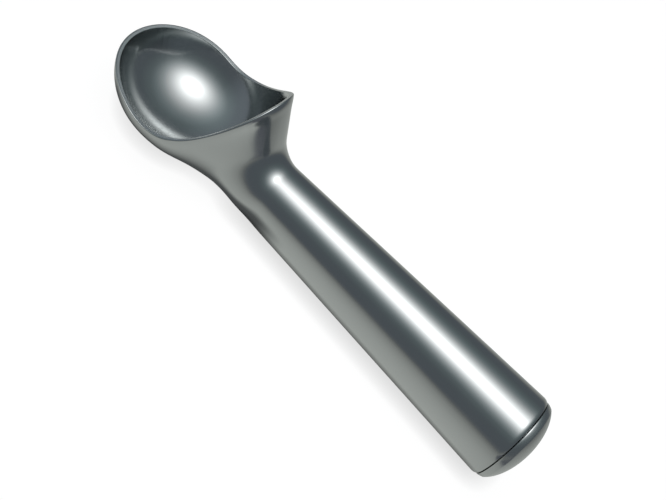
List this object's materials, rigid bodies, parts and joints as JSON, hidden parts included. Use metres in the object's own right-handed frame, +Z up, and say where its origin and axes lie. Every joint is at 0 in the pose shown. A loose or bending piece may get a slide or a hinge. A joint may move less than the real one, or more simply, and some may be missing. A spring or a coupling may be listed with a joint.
{
  "type": "ice cream scoop",
  "caption": "One-piece metal ice cream scoop: a round bowl whose rim sweeps up to a rear peak, a flared neck, and a tapered hollow liquid-filled handle closed by a domed end cap",
  "frame": {"origin": "Centre of the footprint of the whole scoop, on the table plane z = 0 that it lies on, touching with the belly of the bowl and the lower edge of the butt", "axes": "+X runs along the scoop from the bowl to the end cap, +Z is up out of the bowl's mouth, +Y completes the right-handed set across the scoop"},
  "size_m": [0.1796, 0.0508, 0.0417],
  "materials": {
    "body": "gloss",
    "cap": "gloss",
    "seal": "satin",
    "liquid": "gloss"
  },
  "bodies": {
    "root": {"scoop_body": "body", "end_cap": "cap", "cap_o_ring": "seal", "heat_transfer_fluid": "liquid"}
  },
  "joints": []
}
